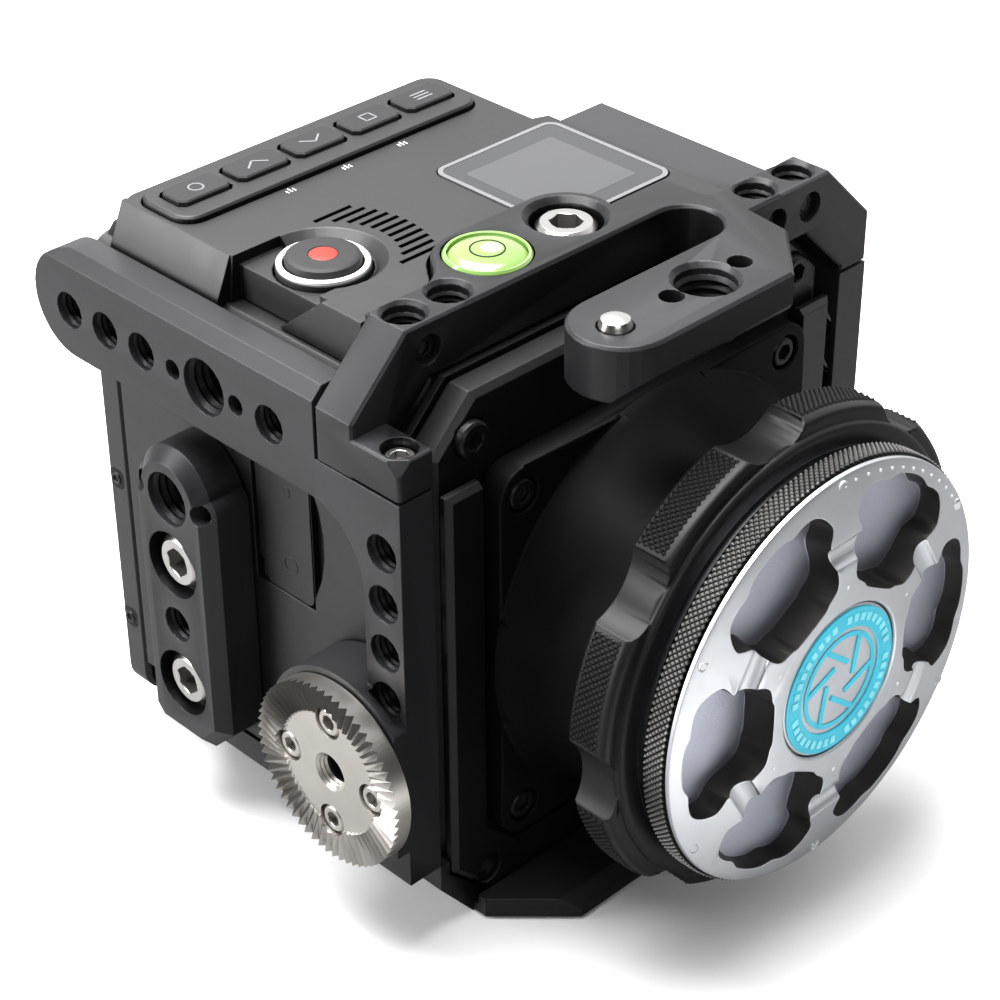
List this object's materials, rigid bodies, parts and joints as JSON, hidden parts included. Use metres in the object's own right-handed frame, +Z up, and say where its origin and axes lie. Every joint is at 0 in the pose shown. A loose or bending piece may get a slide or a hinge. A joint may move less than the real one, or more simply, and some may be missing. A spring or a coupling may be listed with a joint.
{
  "type": "cinema camera rig",
  "caption": "Compact box-shaped cinema camera in a screwed metal cage with a toothed rosette, a locking lens-mount adapter and a metal body cap.",
  "frame": {"origin": "underside of the base plate, below the lens axis, in the cage's front plane", "axes": "+Z up, the lens looks along -Y, +X to the right seen from the front"},
  "size_m": [0.1108, 0.1269, 0.107],
  "materials": {
    "anodised": "satin charcoal anodised",
    "body_black": "fine matte",
    "steel": "bead blasted",
    "silver": "polished",
    "aluminium": "machined",
    "cap_grey": "satin grey anodised",
    "badge": "satin",
    "rubber": "matte",
    "white": "translucent white",
    "liquid": "clear green liquid",
    "glass": "clear",
    "circuit": "solder mask"
  },
  "bodies": {
    "chassis": {"cage_top_plate": "anodised", "cage_left_side": "anodised", "cage_right_side": "anodised", "cage_base_plate": "anodised", "side_bracket": "anodised", "plate_screw_left": "anodised", "plate_screw_right": "anodised", "front_screw_1": "anodised", "front_screw_2": "anodised", "front_screw_3": "anodised", "front_screw_4": "anodised", "mount_screw_1": "anodised", "mount_screw_2": "anodised", "mount_screw_3": "anodised", "mount_screw_4": "anodised", "rosette": "steel", "rosette_screw_1": "steel", "rosette_screw_2": "steel", "rosette_screw_3": "steel", "rosette_screw_4": "steel", "door_pin": "steel", "bracket_screw_upper": "silver", "bracket_screw_lower": "silver", "top_fixing_screw": "silver", "corner_screw": "silver", "level_cup": "aluminium", "card_slot": "aluminium", "filter_holder": "aluminium", "heat_sink": "aluminium", "level_vial": "liquid", "main_shell": "body_black", "rear_cover": "body_black", "front_housing": "body_black", "front_frame": "body_black", "mount_adapter": "body_black", "control_deck": "body_black", "keypad_frame": "body_black", "battery_plate": "body_black", "fan_frame": "rubber", "record_ring": "white", "display_window": "glass", "optical_filter": "glass", "display_module": "circuit", "image_sensor": "circuit", "sensor_board": "circuit", "main_board": "circuit"},
    "cap": {"body_cap": "cap_grey", "cap_medallion": "badge"},
    "ring": {"lock_ring": "body_black"},
    "record": {"record_button": "rubber"},
    "select_key": {"key_select": "rubber"},
    "up_key": {"key_up": "rubber"},
    "down_key": {"key_down": "rubber"},
    "function_key": {"key_function": "rubber"},
    "menu_key": {"key_menu": "rubber"},
    "door": {"media_door": "body_black"},
    "card": {"memory_card": "rubber"},
    "rotor": {"fan_rotor": "body_black"},
    "pin": {"arm_pin": "silver"},
    "latch": {"battery_latch": "rubber"}
  },
  "joints": [
    {"name": "cap_slide", "type": "slide", "parent": "chassis", "child": "cap", "axis": [0, -1, 0], "range_m": [0, 0.02]},
    {"name": "ring_turn", "type": "hinge", "parent": "chassis", "child": "ring", "pos_m": [0, -0.026, 0.0482], "axis": [0, 1, 0], "range_deg": [0, 60]},
    {"name": "record_press", "type": "slide", "parent": "chassis", "child": "record", "axis": [0, 0, -1], "range_m": [0, 0.0008]},
    {"name": "select_press", "type": "slide", "parent": "chassis", "child": "select_key", "axis": [0, 0, -1], "range_m": [0, 0.0006]},
    {"name": "up_press", "type": "slide", "parent": "chassis", "child": "up_key", "axis": [0, 0, -1], "range_m": [0, 0.0006]},
    {"name": "down_press", "type": "slide", "parent": "chassis", "child": "down_key", "axis": [0, 0, -1], "range_m": [0, 0.0006]},
    {"name": "function_press", "type": "slide", "parent": "chassis", "child": "function_key", "axis": [0, 0, -1], "range_m": [0, 0.0006]},
    {"name": "menu_press", "type": "slide", "parent": "chassis", "child": "menu_key", "axis": [0, 0, -1], "range_m": [0, 0.0006]},
    {"name": "door_swing", "type": "hinge", "parent": "chassis", "child": "door", "pos_m": [-0.0442, 0.0412, 0.0624], "axis": [0, 0, -1], "range_deg": [0, 85]},
    {"name": "card_push", "type": "slide", "parent": "chassis", "child": "card", "axis": [-1, 0, 0], "range_m": [0, 0.0025]},
    {"name": "rotor_spin", "type": "hinge", "parent": "chassis", "child": "rotor", "pos_m": [0.027, 0.063, 0.04], "axis": [0, 1, 0], "continuous": true},
    {"name": "pin_travel", "type": "slide", "parent": "chassis", "child": "pin", "axis": [0, 0, -1], "range_m": [0, 0.0015]},
    {"name": "latch_press", "type": "slide", "parent": "chassis", "child": "latch", "axis": [0, -1, 0], "range_m": [0, 0.001]}
  ]
}
